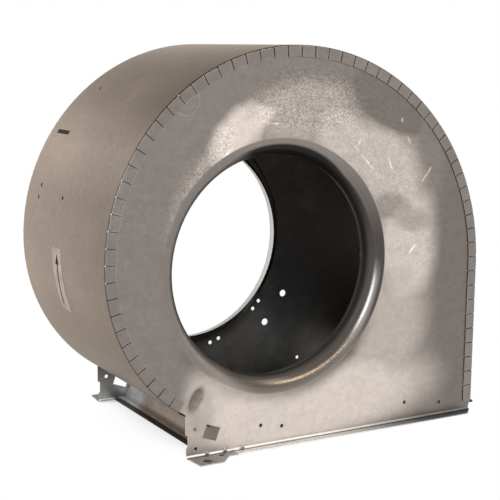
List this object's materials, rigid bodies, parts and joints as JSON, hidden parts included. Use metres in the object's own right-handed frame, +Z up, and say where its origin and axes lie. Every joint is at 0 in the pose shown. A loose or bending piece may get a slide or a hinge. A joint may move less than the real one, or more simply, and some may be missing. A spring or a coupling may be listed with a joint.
{
  "type": "blower housing",
  "caption": "Empty sheet-metal scroll housing of a double-inlet centrifugal blower, with drawn inlets, a tab-locked wrapper, slotted ears and a downward discharge.",
  "frame": {"origin": "middle of the housing's box at the base, in the plane of the discharge flanges", "axes": "+X from the cut-off side to the straight side of the scroll, +Y from the front side plate to the motor side, +Z up, away from the discharge"},
  "size_m": [0.4352, 0.2648, 0.3898],
  "materials": {
    "side_sheet": "galvanised, satin",
    "rear_sheet": "galvanised, satin",
    "wrapper_sheet": "galvanised, satin",
    "cutoff_sheet": "galvanised, satin",
    "label_paper": "matt paper"
  },
  "bodies": {
    "root": {"front_side_plate": "side_sheet", "rear_side_plate": "rear_sheet", "scroll_wrapper": "wrapper_sheet", "cutoff_plate": "cutoff_sheet", "rotation_label": "label_paper"}
  },
  "joints": []
}
